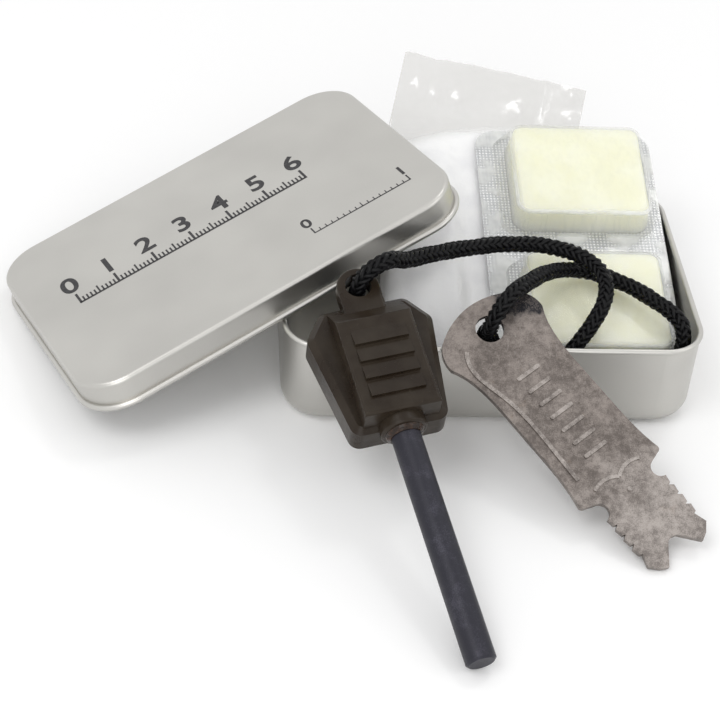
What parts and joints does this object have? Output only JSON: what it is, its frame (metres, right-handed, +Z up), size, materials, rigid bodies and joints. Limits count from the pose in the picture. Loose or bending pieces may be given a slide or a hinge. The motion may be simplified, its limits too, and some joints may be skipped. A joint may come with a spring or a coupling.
{
  "type": "tinder box",
  "caption": "Opened pocket tinder tin with its loose lid, a fire steel and striker on a braided cord, a blister of tinder blocks and a bag of cotton wool.",
  "frame": {"origin": "centre of the tin's underside, at the level of the table", "axes": "+Z up, +X along the tin's length towards the blister, +Y to the side away from the fire steel and the striker"},
  "size_m": [0.1586, 0.1781, 0.044],
  "materials": {
    "tin": "satin",
    "striker": "satin",
    "rod": "satin",
    "handle": "gloss",
    "adhesive": "gloss",
    "cord": "matte",
    "tray": "gloss",
    "foil": "satin",
    "tinder": "matte",
    "film": "gloss",
    "cotton": "matte"
  },
  "bodies": {
    "tin": {"tin_body": "tin"},
    "lid": {"tin_lid": "tin"},
    "lanyard": {"cord": "cord", "knot_at_steel": "cord", "knot_at_striker": "cord"},
    "fire_steel": {"handle": "handle", "ferro_rod": "rod", "rod_adhesive": "adhesive"},
    "striker": {"striker": "striker"},
    "blister": {"blister_tray": "tray", "foil_backing": "foil", "tinder_block_front": "tinder", "tinder_block_rear": "tinder"},
    "tinder_bag": {"bag_film": "film", "cotton_wool": "cotton"}
  },
  "joints": [
    {"name": "lid_lift", "type": "slide", "parent": "tin", "child": "lid", "axis": [-0.3435, 0, 0.9391], "range_m": [0, 0.06]},
    {"name": "lanyard_lift", "type": "slide", "parent": "tin", "child": "lanyard", "axis": [0, 0, 1], "range_m": [0, 0.07]},
    {"name": "steel_tilt", "type": "hinge", "parent": "lanyard", "child": "fire_steel", "pos_m": [-0.03146, -0.02437, 0.03265], "axis": [-0.9703, -0.2271, -0.0834], "range_deg": [0, 15]},
    {"name": "striker_swing", "type": "hinge", "parent": "lanyard", "child": "striker", "pos_m": [-0.00216, -0.02847, 0.02545], "axis": [0, -0.4515, 0.8923], "range_deg": [0, 40]},
    {"name": "blister_slide", "type": "slide", "parent": "tin", "child": "blister", "axis": [0, 0.9636, 0.2672], "range_m": [0, 0.045]},
    {"name": "bag_slide", "type": "slide", "parent": "tin", "child": "tinder_bag", "axis": [0.2554, 0.9317, 0.2584], "range_m": [0, 0.01]}
  ]
}
